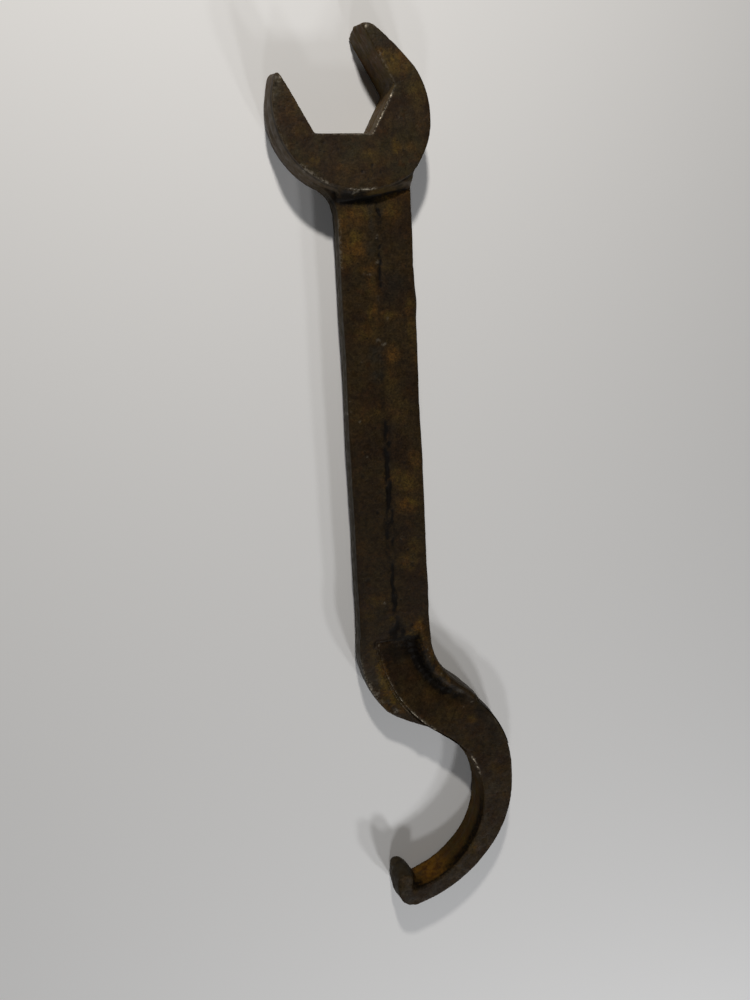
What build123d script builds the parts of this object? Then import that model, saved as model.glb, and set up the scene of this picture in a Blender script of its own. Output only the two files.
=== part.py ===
"""Double-ended forged spanner: an open hexagon jaw, a flat shank and a hooked arm with a nib.

Millimetres. The origin is the centre of the hexagon jaw, level with the underside of the head.
+Z is up along the nut's axis, and the shank runs towards -Y. The three forged sections share one
mid-plane, half way up the head, where their drafted walls are widest.
"""
from build123d import *
import math
import os

# Driving dimensions
ACROSS_FLATS = 28.6        # between the two jaw flats, for a 1 1/8 inch nut
SEAT_DEPTH = 13.5          # from the jaw centre to the flat at the bottom of the jaw
HEAD_THICKNESS = 16.0
SHANK_THICKNESS = 7.4
HOOK_THICKNESS = 12.4
RIB_THICKNESS = 12.0       # raised rib beside the hook arm, on the outside of the bend
HEAD_DRAFT = 7.0           # degrees that each wall slopes in from the mid-plane
HOOK_DRAFT = 6.0
SHANK_AXIS_X = 9.7         # the shank is set to the right of the jaw centre
SHANK_WIDTH = 24.2
SHANK_END_WIDTH = 25.4     # width just above the bend
STRAIGHT_END_Y = -60.0     # the shank starts to widen here
BEND_START_Y = -174.0
BAR_END_Y = -177.0         # squared end of the hook arm, let into the shank
BAR_END_WIDTH = 15.0
FOOT_INSET = 1.1           # the head's sloping foot starts this far in from its faces
HOLLOW_DEPTH = 0.5         # shallow hollow along both faces of the shank
HOLLOW_MARGIN = 2.2        # flat edge left beside the hollow
HOLLOW_START_Y = -36.0
HOLLOW_END_Y = -168.0
SHANK_EDGE = 0.5
JAW_CORNER_RADIUS = 1.6

MID_Z = HEAD_THICKNESS / 2
CORNER = ACROSS_FLATS / math.sqrt(3)
ROOT_3 = math.sqrt(3)
LEFT_X = SHANK_AXIS_X - SHANK_WIDTH / 2
RIGHT_X = SHANK_AXIS_X + SHANK_WIDTH / 2
END_LEFT_X = SHANK_AXIS_X - SHANK_END_WIDTH / 2
END_RIGHT_X = SHANK_AXIS_X + SHANK_END_WIDTH / 2
BAR_LEFT_X = SHANK_AXIS_X - BAR_END_WIDTH / 2
BAR_RIGHT_X = SHANK_AXIS_X + BAR_END_WIDTH / 2

# Points that neighbouring curves share, at the mid-plane
LEFT_TIP = (-21.0, 0.6)
HEAD_LOWER_LEFT = (-5.7, -28.8)
HEAD_LOWER_RIGHT = (21.9, -25.4)
HEAD_RIGHT = (23.8, 5.7)
RIGHT_TIP = (11.0, 17.2)
FLANGE_LEFT = (4.9, -203.4)
THROAT = (24.0, -215.4)
HOOK_INNER = (39.2, -241.5)
NIB_ROOT = (13.9, -274.9)
HOOK_TOE = (12.0, -282.7)
HOOK_OUTER = (38.9, -269.4)
HOOK_SHOULDER = (51.9, -235.0)
BEND_OUTER = (33.6, -200.4)


def head_blank():
    """Edge of the head before the jaw is cut, with its two horns."""
    with BuildLine() as line:
        ThreePointArc(LEFT_TIP, (-19.6, -15.8), HEAD_LOWER_LEFT)
        ThreePointArc(HEAD_LOWER_LEFT, (7.0, -30.6), HEAD_LOWER_RIGHT)
        ThreePointArc(HEAD_LOWER_RIGHT, (28.6, -8.8), HEAD_RIGHT)
        ThreePointArc(HEAD_RIGHT, (17.9, 11.6), RIGHT_TIP)
        Polyline(RIGHT_TIP, (8.8, 17.9), (6.6, 17.7), (4.8, 15.8), (4.6, -8.0))
        Polyline((4.6, -8.0), (-12.0, -6.0), (-17.2, 3.4), (-18.9, 4.4), (-20.4, 3.0), LEFT_TIP)
    return line


def jaw_opening():
    """Hexagon seat and its mouth, which opens to the left at 30 degrees from the shank."""
    left_root = (ACROSS_FLATS - SEAT_DEPTH) / ROOT_3
    seat_half = 2 * CORNER - ACROSS_FLATS / ROOT_3 - SEAT_DEPTH / ROOT_3
    reach = 25.0
    left_reach = 10.0
    with BuildLine() as line:
        Polyline(
            (-seat_half, -SEAT_DEPTH),
            (seat_half, -SEAT_DEPTH),
            (CORNER, 0),
            (CORNER - reach / ROOT_3, reach),
            (-CORNER - reach, reach),
            (-CORNER - left_reach / ROOT_3, left_reach),
            close=True,
        )
    return line


def bar_outline():
    """Edge of the hook arm, from its squared end to the nib."""
    with BuildLine() as line:
        Line((BAR_RIGHT_X, BAR_END_Y), (BAR_LEFT_X, BAR_END_Y))
        ThreePointArc((BAR_LEFT_X, BAR_END_Y), (8.8, -198.8), THROAT)
        ThreePointArc(THROAT, (34.3, -225.9), HOOK_INNER)
        ThreePointArc(HOOK_INNER, (33.2, -262.3), NIB_ROOT)
        Polyline(NIB_ROOT, (11.9, -270.4), (9.6, -268.1), (6.9, -267.6), (5.1, -269.2), (4.6, -272.2))
        Polyline((4.6, -272.2), (4.9, -276.8), (6.3, -280.2), (8.9, -282.2), HOOK_TOE)
        ThreePointArc(HOOK_TOE, (26.4, -278.2), HOOK_OUTER)
        ThreePointArc(HOOK_OUTER, (49.2, -253.9), HOOK_SHOULDER)
        ThreePointArc(HOOK_SHOULDER, (46.3, -213.4), BEND_OUTER)
        ThreePointArc(BEND_OUTER, (22.6, -192.4), (BAR_RIGHT_X, BAR_END_Y))
    return line


def shank_outline():
    """Edge of the shank and of the two flanges that hold the hook arm."""
    with BuildLine() as line:
        Line((RIGHT_X, -15.0), (-9.5, -15.0))
        Line((-9.5, -15.0), (-9.5, -27.2))
        ThreePointArc((-9.5, -27.2), (-4.2, -31.0), (LEFT_X, -37.0))
        Line((LEFT_X, -37.0), (LEFT_X, STRAIGHT_END_Y))
        Line((LEFT_X, STRAIGHT_END_Y), (END_LEFT_X, BEND_START_Y))
        ThreePointArc((END_LEFT_X, BEND_START_Y), (-1.2, -193.0), FLANGE_LEFT)
        ThreePointArc(FLANGE_LEFT, (11.6, -208.3), (21.0, -211.9))
        Line((21.0, -211.9), (33.0, -209.0))
        Line((33.0, -209.0), (40.0, -204.4))
        ThreePointArc((40.0, -204.4), (36.8, -200.8), (33.2, -197.4))
        ThreePointArc((33.2, -197.4), (25.3, -188.3), (END_RIGHT_X, BEND_START_Y))
        Line((END_RIGHT_X, BEND_START_Y), (RIGHT_X, STRAIGHT_END_Y))
        Line((RIGHT_X, STRAIGHT_END_Y), (RIGHT_X, -15.0))
    return line


def rib_outline():
    """Raised rib on the outside of the bend, between the hook arm and the shank's right edge."""
    with BuildLine() as line:
        Line((BAR_RIGHT_X - 1.0, -186.0), (18.6, -172.0))
        Line((18.6, -172.0), (22.1, -174.5))
        ThreePointArc((22.1, -174.5), (25.05, -188.5), (33.0, -197.7))
        ThreePointArc((33.0, -197.7), (36.5, -201.0), (39.3, -204.0))
        Line((39.3, -204.0), (30.0, -204.0))
        Line((30.0, -204.0), (BAR_RIGHT_X - 1.0, -186.0))
    return line


def neck_outline(left_y, middle_y, right_y):
    """Area under the head's lower edge, down to a curve through three heights along the shank."""
    with BuildLine() as line:
        ThreePointArc((LEFT_X, left_y), (7.0, middle_y), (RIGHT_X, right_y))
        Line((RIGHT_X, right_y), (RIGHT_X, -20.0))
        Line((RIGHT_X, -20.0), (LEFT_X, -20.0))
        Line((LEFT_X, -20.0), (LEFT_X, left_y))
    return line


# Sloping foot under the head's lower face, which is mirrored to the upper face
with BuildPart() as foot:
    with BuildSketch(Plane.XY.offset(MID_Z - SHANK_THICKNESS / 2)) as foot_base:
        add(neck_outline(-32.6, -31.1, -28.6).line)
        make_face()
    with BuildSketch(Plane.XY.offset(FOOT_INSET)) as foot_end:
        add(neck_outline(-30.4, -30.0, -26.4).line)
        make_face()
    loft([foot_base.sketch, foot_end.sketch])
    mirror(about=Plane.XY.offset(MID_Z))

# Head: drafted blank with its two feet, then the hexagon jaw cut through it
with BuildPart() as jaw_head:
    with BuildSketch(Plane.XY.offset(MID_Z)):
        add(head_blank().line)
        make_face()
    extrude(amount=HEAD_THICKNESS / 2, taper=HEAD_DRAFT, both=True)
    add(foot.part)
    with BuildSketch():
        add(jaw_opening().line)
        make_face()
    extrude(amount=HEAD_THICKNESS, mode=Mode.SUBTRACT)
    jaw_corner = jaw_head.edges().filter_by(Axis.Z).sort_by_distance((CORNER, 0, MID_Z))[0]
    fillet(jaw_corner, JAW_CORNER_RADIUS)
jaw_head.part.label = "jaw_head"

# Hook arm: a thick bar that bends away to the right and round, and ends in an inward nib
with BuildPart() as hook_arm:
    with BuildSketch(Plane.XY.offset(MID_Z)):
        add(bar_outline().line)
        make_face()
    extrude(amount=HOOK_THICKNESS / 2, taper=HOOK_DRAFT, both=True)
hook_arm.part.label = "hook_arm"

# Shank: a flat bar with a shallow hollow along each face, and flanges round the hook arm's end
with BuildPart() as shank:
    with BuildSketch(Plane.XY.offset(MID_Z - SHANK_THICKNESS / 2)):
        add(shank_outline().line)
        make_face()
    extrude(amount=SHANK_THICKNESS)
    long_edges = shank.edges().filter_by(lambda edge: edge.length > 100)
    chamfer(long_edges, SHANK_EDGE)
    with BuildSketch(Plane.XY.offset(MID_Z - RIB_THICKNESS / 2)):
        add(rib_outline().line)
        make_face()
    extrude(amount=RIB_THICKNESS)
    half_hollow = SHANK_WIDTH / 2 - HOLLOW_MARGIN
    for side in (1, -1):
        face_z = MID_Z + side * SHANK_THICKNESS / 2
        with BuildSketch(Plane.XZ.offset(-HOLLOW_START_Y)):
            with BuildLine():
                Polyline(
                    (SHANK_AXIS_X - half_hollow, face_z),
                    (SHANK_AXIS_X + half_hollow, face_z),
                    (SHANK_AXIS_X, face_z - side * HOLLOW_DEPTH),
                    close=True,
                )
            make_face()
        extrude(amount=HOLLOW_START_Y - HOLLOW_END_Y, mode=Mode.SUBTRACT)
    add(jaw_head.part, mode=Mode.SUBTRACT)
    add(hook_arm.part, mode=Mode.SUBTRACT)
shank.part.label = "shank"

os.makedirs("parts", exist_ok=True)
export_step(jaw_head.part, "parts/jaw_head.step")
export_step(shank.part, "parts/shank.step")
export_step(hook_arm.part, "parts/hook_arm.step")
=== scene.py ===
"""Blender scene for the forged spanner: detailed forged meshes, rust materials, floor, lights and camera.

Lengths in the named values are millimetres, in the frame of the CAD model, and are turned into metres
with MM: x runs to the right, y towards the jaw, z up from the floor, and the jaw's centre is at x = y = 0.
The three CAD sections are remeshed together, so that the forging has no seams, then split into one piece
for each section again.
"""
import math
import bpy
import numpy as np
from mathutils import Matrix, Vector
from mathutils.bvhtree import BVHTree


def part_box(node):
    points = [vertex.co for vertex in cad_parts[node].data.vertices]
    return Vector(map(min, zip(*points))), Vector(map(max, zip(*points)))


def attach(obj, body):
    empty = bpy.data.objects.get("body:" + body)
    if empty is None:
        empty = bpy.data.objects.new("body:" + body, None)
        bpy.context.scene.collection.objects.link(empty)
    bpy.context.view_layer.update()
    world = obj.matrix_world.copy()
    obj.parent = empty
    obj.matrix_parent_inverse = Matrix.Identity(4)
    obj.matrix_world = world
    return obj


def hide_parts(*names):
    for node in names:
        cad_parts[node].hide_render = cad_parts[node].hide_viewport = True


MM = 0.001
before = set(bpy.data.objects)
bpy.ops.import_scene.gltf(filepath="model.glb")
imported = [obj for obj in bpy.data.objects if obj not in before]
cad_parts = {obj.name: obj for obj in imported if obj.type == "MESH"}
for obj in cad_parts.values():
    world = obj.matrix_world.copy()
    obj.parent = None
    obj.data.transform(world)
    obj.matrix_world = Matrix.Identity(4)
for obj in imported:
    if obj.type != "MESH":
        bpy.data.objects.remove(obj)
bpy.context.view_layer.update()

NODES = ("jaw_head", "shank", "hook_arm")
SLOTS = {"jaw_head": "head_steel", "shank": "shank_steel", "hook_arm": "hook_steel"}

# Sizes of the shank that its box doesn't show
SHANK_AXIS_X = 9.7
SHANK_HALF_THICKNESS = 3.7

# Sizes taken from the frame
head_low, head_high = (np.array(corner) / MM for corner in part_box("jaw_head"))
shank_low, shank_high = (np.array(corner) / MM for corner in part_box("shank"))
hook_low, hook_high = (np.array(corner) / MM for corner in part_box("hook_arm"))
MID_Z = (head_low[2] + head_high[2]) / 2
BAR_END_Y = hook_high[1]
BAR_STEP = (hook_high[2] - hook_low[2]) / 2 - SHANK_HALF_THICKNESS
RIB_STEP = (shank_high[2] - shank_low[2]) / 2 - SHANK_HALF_THICKNESS

# Spacing of the vertices in the remeshed forging
VOXEL = 0.36
# Share of the way to its neighbours' mean that a vertex moves in one round of smoothing
SMOOTHING = 0.5
# Entries in a noise table, and the gain that brings gradient noise to about -1 to 1
TABLE_SIZE = 256
NOISE_GAIN = 1.6


# ---------------------------------------------------------------- noise

def gradients(seed):
    """Permutation table and random unit gradients for one noise field."""
    state = np.random.RandomState(seed)
    table = state.permutation(TABLE_SIZE)
    vectors = state.normal(size=(TABLE_SIZE, 3))
    return table, vectors / np.linalg.norm(vectors, axis=1)[:, None]


def table_index(table, cell):
    """Entry of a permutation table for each cell of a grid."""
    i, j, k = (cell % TABLE_SIZE).T
    return table[(table[(table[i] + j) % TABLE_SIZE] + k) % TABLE_SIZE]


def noise(points, scale, seed):
    """Smooth gradient noise, about -1 to 1, with features about `scale` millimetres across."""
    table, vectors = gradients(seed)
    place = points / scale
    base = np.floor(place).astype(int)
    part = place - base
    fade = part * part * part * (part * (part * 6 - 15) + 10)
    total = np.zeros(len(points))
    for corner in range(8):
        step = np.array([corner & 1, corner >> 1 & 1, corner >> 2 & 1])
        index = table_index(table, base + step)
        weight = np.prod(np.where(step, fade, 1 - fade), axis=1)
        total += weight * np.einsum("ij,ij->i", vectors[index], part - step)
    return total * NOISE_GAIN


def fractal(points, scale, seed, octaves=3):
    """Several octaves of noise, each half the size and half the height of the one before."""
    total = np.zeros(len(points))
    for octave in range(octaves):
        total += noise(points, scale / 2 ** octave, seed + octave) / 2 ** octave
    return total / (2 - 2 ** (1 - octaves))


def pits(points, spacing, radius, seed, share):
    """1 at the centre of scattered round pits, falling to 0 at `radius` millimetres or less."""
    state = np.random.RandomState(seed)
    table = state.permutation(TABLE_SIZE)
    centre = state.rand(TABLE_SIZE, 3)
    used = state.rand(TABLE_SIZE) < share
    size = 0.5 + 0.5 * state.rand(TABLE_SIZE)
    place = points / spacing
    base = np.floor(place).astype(int)
    deepest = np.zeros(len(points))
    for i in (-1, 0, 1):
        for j in (-1, 0, 1):
            for k in (-1, 0, 1):
                cell = base + np.array([i, j, k])
                index = table_index(table, cell)
                reach = radius / spacing * size[index]
                away = np.linalg.norm(place - cell - centre[index], axis=1) / reach
                pit = np.clip(1 - away * away, 0, 1) ** 2
                deepest = np.maximum(deepest, np.where(used[index], pit, 0))
    return deepest


def ramp(value, low, high):
    """Smooth step from 0 at low to 1 at high; low may be above high."""
    share = np.clip((value - low) / (high - low), 0, 1)
    return share * share * (3 - 2 * share)


def hump(value, centre, width):
    """Bell shape, 1 at the centre and nearly 0 at twice the width from it."""
    return np.exp(-((value - centre) / width) ** 2)


# ---------------------------------------------------------------- outlines

def arc(start, via, end, count=24):
    """Points along the arc through three points."""
    first, second, last = (complex(*point) for point in (start, via, end))
    ratio = (last - first) / (second - first)
    centre = (second - first) * (ratio - abs(ratio) ** 2) / (ratio - ratio.conjugate()) + first
    turn = np.angle((last - centre) / (first - centre))
    halfway = np.angle((second - centre) / (first - centre))
    if turn * halfway < 0 or abs(halfway) > abs(turn):
        turn -= math.copysign(2 * math.pi, turn)
    steps = centre + (first - centre) * np.exp(1j * turn * np.linspace(0, 1, count))
    return np.column_stack([steps.real, steps.imag])


def side_of_path(points, path):
    """Signed distance to a path, positive to the left of its direction, and the length along it."""
    places = points[:, :2]
    nearest = np.full(len(places), np.inf)
    signed = np.zeros(len(places))
    along = np.zeros(len(places))
    travelled = 0.0
    for start, end in zip(path[:-1], path[1:]):
        length = np.linalg.norm(end - start)
        direction = (end - start) / length
        reached = np.clip((places - start) @ direction, 0, length)
        offset = places - start - reached[:, None] * direction
        distance = np.linalg.norm(offset, axis=1)
        nearer = distance < nearest
        nearest = np.where(nearer, distance, nearest)
        cross = direction[0] * (places[:, 1] - start[1]) - direction[1] * (places[:, 0] - start[0])
        signed = np.where(nearer, np.where(cross >= 0, distance, -distance), signed)
        along = np.where(nearer, travelled + reached, along)
        travelled += length
    return signed, along


# ---------------------------------------------------------------- mesh

def remeshed_forging():
    """All three CAD sections as one even mesh; returns vertices in millimetres, quads and edges."""
    vertices = []
    faces = []
    for name in NODES:
        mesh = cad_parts[name].data
        first = len(vertices)
        vertices += [tuple(vertex.co) for vertex in mesh.vertices]
        faces += [[first + index for index in face.vertices] for face in mesh.polygons]
    mesh = bpy.data.meshes.new("blank")
    mesh.from_pydata(vertices, [], faces)
    blank = bpy.data.objects.new("blank", mesh)
    bpy.context.scene.collection.objects.link(blank)
    remesh = blank.modifiers.new("remesh", "REMESH")
    remesh.mode = "VOXEL"
    remesh.voxel_size = VOXEL * MM
    graph = bpy.context.evaluated_depsgraph_get()
    even = bpy.data.meshes.new_from_object(blank.evaluated_get(graph))
    points = np.empty(len(even.vertices) * 3)
    even.vertices.foreach_get("co", points)
    quads = [tuple(face.vertices) for face in even.polygons]
    edges = np.empty(len(even.edges) * 2, dtype=int)
    even.edges.foreach_get("vertices", edges)
    bpy.data.objects.remove(blank)
    return points.reshape(-1, 3) / MM, quads, edges.reshape(-1, 2)


class Surface:
    """Vertices, quads and edges as arrays, with smoothing and normals."""

    def __init__(self, points, quads, edges):
        self.points = points
        self.quads = np.array([quad if len(quad) == 4 else (*quad, quad[-1]) for quad in quads])
        self.edges = edges
        self.degree = np.maximum(np.bincount(edges.ravel(), minlength=len(points)), 1)

    def neighbour_mean(self, values):
        """Mean of each vertex's neighbours, for values with any number of columns."""
        first, second = self.edges.T
        columns = []
        for column in values.T:
            total = np.bincount(first, weights=column[second], minlength=len(column))
            total += np.bincount(second, weights=column[first], minlength=len(column))
            columns.append(total / self.degree)
        return np.column_stack(columns)

    def smoothed_points(self, rounds, softness=1.0):
        """Vertices after some rounds of smoothing; softness, 0 to 1, may differ at each vertex."""
        points = self.points
        share = SMOOTHING * np.broadcast_to(softness, len(points))[:, None]
        for _ in range(rounds):
            points = points + share * (self.neighbour_mean(points) - points)
        return points

    def smooth(self, rounds, softness=1.0):
        """Smooths the surface itself."""
        self.points = self.smoothed_points(rounds, softness)

    def normals(self):
        """Unit normal at each vertex."""
        first, second, third, fourth = (self.points[corner] for corner in self.quads.T)
        face = np.cross(third - first, fourth - second)
        total = np.zeros_like(self.points)
        for corner in self.quads.T:
            for axis in range(3):
                total[:, axis] += np.bincount(corner, weights=face[:, axis], minlength=len(total))
        return total / np.maximum(np.linalg.norm(total, axis=1), 1e-12)[:, None]

    def push(self, amount):
        """Moves each vertex along its normal by an amount in millimetres."""
        self.points = self.points + self.normals() * amount[:, None]

    def relief(self, rounds):
        """How far each vertex stands out from the smoothed surface round it."""
        return np.einsum("ij,ij->i", self.points - self.smoothed_points(rounds), self.normals())


# ---------------------------------------------------------------- shape of the forging

# Paths in plan, followed from the shank towards the nib
HOOK_START = (24.0, -215.4)
HOOK_SIDE = (39.2, -241.5)
BAR_OUTER_BEND = (33.6, -200.4)
BAR_TURN = arc(HOOK_START, (34.3, -225.9), HOOK_SIDE)
BAR_LEFT_EDGE = np.vstack([arc((2.2, BAR_END_Y), (8.8, -198.8), HOOK_START), BAR_TURN])
BAR_RIGHT_EDGE = np.vstack([
    arc((17.2, BAR_END_Y), (22.6, -192.4), BAR_OUTER_BEND),
    arc(BAR_OUTER_BEND, (46.3, -213.4), (51.9, -235.0)),
])
HOOK_INNER_EDGE = np.vstack([BAR_TURN, arc(HOOK_SIDE, (33.2, -262.3), (13.9, -274.9))])

# The groove down the middle of the shank: places in plan, from the bar to the head
GROOVE = np.array([
    (9.9, -174.0), (9.8, -160.0), (9.4, -148.0), (9.7, -133.0), (9.8, -118.0), (10.3, -104.0),
    (9.9, -90.0), (10.6, -76.0), (10.2, -62.0), (10.6, -52.0), (10.9, -41.0), (10.6, -32.5),
])
# Depth of the groove at places along the shank: y, depth, half width
GROOVE_DEPTH = np.array([
    (-178.0, 0.0, 2.0), (-174.0, 0.55, 2.6), (-168.5, 0.15, 1.0), (-163.0, 0.60, 0.8),
    (-156.0, 0.30, 0.8), (-149.0, 0.10, 1.2), (-138.0, 0.35, 1.4), (-128.0, 0.45, 1.0),
    (-112.0, 0.35, 1.1), (-102.0, 0.16, 1.3), (-92.0, 0.06, 1.0), (-80.0, 0.06, 1.3), (-68.0, 0.03, 1.0),
    (-60.0, 0.10, 0.7), (-52.0, 0.20, 0.6), (-47.0, 0.10, 0.8), (-42.0, 0.4, 0.6), (-37.0, 0.5, 0.5),
    (-32.5, 0.3, 0.6),
])
# Sum of the two y values of the groove at one place, seen from above and from below
GROOVE_MIRROR_Y = -207.0

# The shank's hollow: how deep and wide it is, where it ends, and how long its ends take to fade
HOLLOW_DEPTH = 0.5
HOLLOW_HALF_WIDTH = 9.9
HOLLOW_TOP_Y = -36.0
HOLLOW_FOOT_Y = -168.0
HOLLOW_TOP_FADE = 12
HOLLOW_FOOT_FADE = 14

# The bend, where the bar of the hook arm rises out of the shank. Each span is a pair of lengths along an
# edge of the bar, or a pair of places, between which a shape grows or dies out
BEND_TOP_Y = -165.0
BEND_FOOT_Y = -224.0
BAR_FIRST_STEP = 0.5
LEFT_EDGE_RISES = (2.0, 40.0)
RIGHT_EDGE_RISES = (8.0, 40.0)
FLANGE_LENGTH = 47.0
FLANGE_GAP = 0.05
LEAST_STEP = 0.12
FILLET_STARTS = (0.0, 10.0)
FILLET_GROWS = (14.0, 30.0)
FILLET_ENDS = (FLANGE_LENGTH, 40.0)
FILLET_LOW = 0.50
FILLET_GROWTH = 0.42
FILLET_WIDTH = 1.1
FILLET_WALL_WIDTH = 0.5
VALLEY_STARTS = (8.0, 18.0)
RIB_SLOPE = 0.13
RIB_CREST_WIDTH = 1.6
RIB_SLOPE_ENDS = (40.0, 30.0)
RIB_STARTS_Y = (-170.5, -179.0)
RIB_STARTS_X = (15.0, 19.0)
RIB_MEETS_BAR = (-1.3, 0.5)
# Hollows beside an edge: depth, distance from the edge, half width, and the span in which it dies out
TROUGH = (1.1, -2.4, 2.1, (38.0, 18.0))
BOWL = (0.4, -7.0, 4.0, (30.0, 10.0))
VALLEY = (0.7, -3.4, 1.7, (44.0, 34.0))

# Tips whose corners are worn off: place, reach, drop
WORN_TIPS = [((-18.6, 4.2), 3.0, 1.3), ((6.4, 17.4), 3.0, 1.0), ((4.4, -272.0), 3.4, 0.7)]
# Places where all edges are softer: place, reach, core, strength
SOFT_PLACES = [
    ((6.5, 17.0), 3.4, 1.2, 0.35), ((-19.0, 3.5), 3.0, 1.0, 0.15), ((5.5, -273.0), 8.5, 4.5, 0.35),
    ((11.8, -274.5), 5.5, 2.5, 1.0), ((21.0, -212.5), 5.0, 2.5, 1.0),
]
# Rounds of smoothing for the walls, the bend, the soft edges, and the line where bar and rib meet
WALL_ROUNDS = 10
BEND_ROUNDS = 18
EDGE_ROUNDS = 8
TROUGH_ROUNDS = 14
# Hammer waves: height, size, seed
HAMMER_WAVES = [(0.20, 24.0, 11), (0.11, 8.0, 12), (0.05, 3.4, 13)]
# Foot of the head, where its sloping face meets the shank
FOOT_Y = -31.0


def near(points, place, reach, core=0.0):
    """1 within core of a place in plan, falling smoothly to 0 at reach."""
    return ramp(np.hypot(points[:, 0] - place[0], points[:, 1] - place[1]), reach, core)


def hollow(across, along, depth, distance, width, fades):
    """Depth of a hollow that runs beside an edge and dies out along it."""
    return depth * hump(across, distance, width) * ramp(along, *fades)


class Bend:
    """Each vertex's place from the two edges of the bar, and the relief that goes with it."""

    def __init__(self, points):
        self.x, self.y, z = points.T
        self.height = np.abs(z - MID_Z)
        self.left, self.left_along = side_of_path(points, BAR_LEFT_EDGE)
        self.right, self.right_along = side_of_path(points, BAR_RIGHT_EDGE)
        left_rise = (BAR_STEP - BAR_FIRST_STEP) * ramp(self.left_along, *LEFT_EDGE_RISES)
        self.left_step = BAR_FIRST_STEP + left_rise
        self.on_flange = (self.left < -FLANGE_GAP) & (self.left_along < FLANGE_LENGTH)

    def bar(self):
        """Height of the bar over the shank's face, with two hollows along its right edge."""
        across = np.clip(self.left / np.maximum(self.left - self.right, 1e-3), 0, 1)
        right_step = BAR_STEP * ramp(self.right_along, *RIGHT_EDGE_RISES)
        height = self.left_step + (right_step - self.left_step) * across
        height -= hollow(self.right, self.right_along, *TROUGH)
        height -= hollow(self.right, self.right_along, *BOWL)
        return height * ramp(self.y, BAR_END_Y + 0.5, BAR_END_Y - 0.7)

    def rib(self):
        """Height of the rib on the outside of the bend, which slopes away from the bar."""
        slope = RIB_SLOPE * ramp(self.right_along, *RIB_SLOPE_ENDS)
        crest = 1.0 - slope * np.clip(self.right - RIB_CREST_WIDTH, 0, 5)
        return BAR_STEP * crest * ramp(self.y, *RIB_STARTS_Y) * ramp(self.x, *RIB_STARTS_X)

    def fillet(self):
        """Height that the fillet in the corner between flange and bar reaches up the bar."""
        share = FILLET_LOW + FILLET_GROWTH * ramp(self.left_along, *FILLET_GROWS)
        ends = ramp(self.left_along, *FILLET_STARTS) * ramp(self.left_along, *FILLET_ENDS)
        return self.left_step * share * ends

    def flange(self):
        """Height over the flange, which has the fillet at one side and then a valley."""
        valley = hollow(self.left, self.left_along, *VALLEY) * ramp(self.left_along, *VALLEY_STARTS)
        return self.fillet() * np.exp(-np.clip(-self.left, 0, None) / FILLET_WIDTH) - valley

    def change(self):
        """How far each vertex of the CAD shape moves away from the middle plane."""
        bar = self.bar()
        relief = bar + (self.rib() - bar) * ramp(self.right, *RIB_MEETS_BAR)
        relief = np.where(self.on_flange, self.flange(), relief)
        wall_fillet = self.fillet() * np.exp(-np.clip(self.left, 0, None) / FILLET_WALL_WIDTH)
        wall_fillet = np.where(self.on_flange, 0, wall_fillet)
        above = np.clip(self.height - SHANK_HALF_THICKNESS, 0, None)
        step = np.where(self.right > 0, RIB_STEP, BAR_STEP)
        raised = wall_fillet + above * ((relief - wall_fillet) / step - 1)
        near_face = ramp(self.height, SHANK_HALF_THICKNESS - 1.8, SHANK_HALF_THICKNESS - 0.1)
        change = np.where(above > LEAST_STEP, raised, near_face * relief)
        return np.where((self.y < BEND_TOP_Y) & (self.y > BEND_FOOT_Y), change, 0)


def shape_bend(points):
    """Lets the hook arm rise out of the shank, with a rib on its right and a flange on its left."""
    side = np.sign(points[:, 2] - MID_Z)
    points[:, 2] += side * Bend(points).change()


def fill_hollow_ends(points):
    """Fades the shank's hollow out towards both ends."""
    x, y, z = points.T
    top_fade = ramp(y, HOLLOW_TOP_Y, HOLLOW_TOP_Y - HOLLOW_TOP_FADE)
    foot_fade = ramp(y, HOLLOW_FOOT_Y, HOLLOW_FOOT_Y + HOLLOW_FOOT_FADE)
    depth = HOLLOW_DEPTH * np.clip(1 - np.abs(x - SHANK_AXIS_X) / HOLLOW_HALF_WIDTH, 0, 1)
    near_face = ramp(np.abs(z - MID_Z), SHANK_HALF_THICKNESS - 1.4, SHANK_HALF_THICKNESS - 0.7)
    filling = (1 - top_fade * foot_fade) * depth * near_face
    inside = (y < HOLLOW_TOP_Y) & (y > HOLLOW_FOOT_Y)
    points[:, 2] += np.sign(z - MID_Z) * np.where(inside, filling, 0)


def lean_nib(points):
    """Leans the nib's inner wall, so that its upper edge stands further left than its lower edge."""
    nib_wall = (13.6, -275.3)
    lean = 2.4
    wall_height = 6.0
    rise = np.clip((points[:, 2] - MID_Z) / wall_height, 0, 1)
    points[:, 0] -= lean * rise * near(points, nib_wall, reach=6.0, core=0.8)


def round_tip(points, tip, reach, drop):
    """Wears the corner off a tip, on both faces."""
    side = np.sign(points[:, 2] - MID_Z)
    outer_part = ramp(np.abs(points[:, 2] - MID_Z), 1.0, 6.0)
    points[:, 2] -= side * drop * near(points, tip, reach) * outer_part


def bend_softness(points, bend):
    """How much to smooth the shank's part of the bend and the seams where the hollow ends."""
    x, y, _ = points.T
    soft = ramp(y, -166.0, -170.0) * ramp(bend.right_along, 44.0, 34.0) * ramp(bend.right, -6.0, -4.0)
    soft *= 1 - 0.85 * ramp(x, 8.0, 5.0)
    seams = hump(y, HOLLOW_TOP_Y, 1.5) + hump(y, HOLLOW_FOOT_Y, 1.5)
    soft = np.maximum(soft, seams * (np.abs(x - SHANK_AXIS_X) < 10.4))
    foot_ends = near(points, (-2.6, -30.3), 3.6, 2.0) + near(points, (21.9, -27.2), 3.0, 1.6)
    return np.clip(soft + foot_ends, 0, 1)


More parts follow.
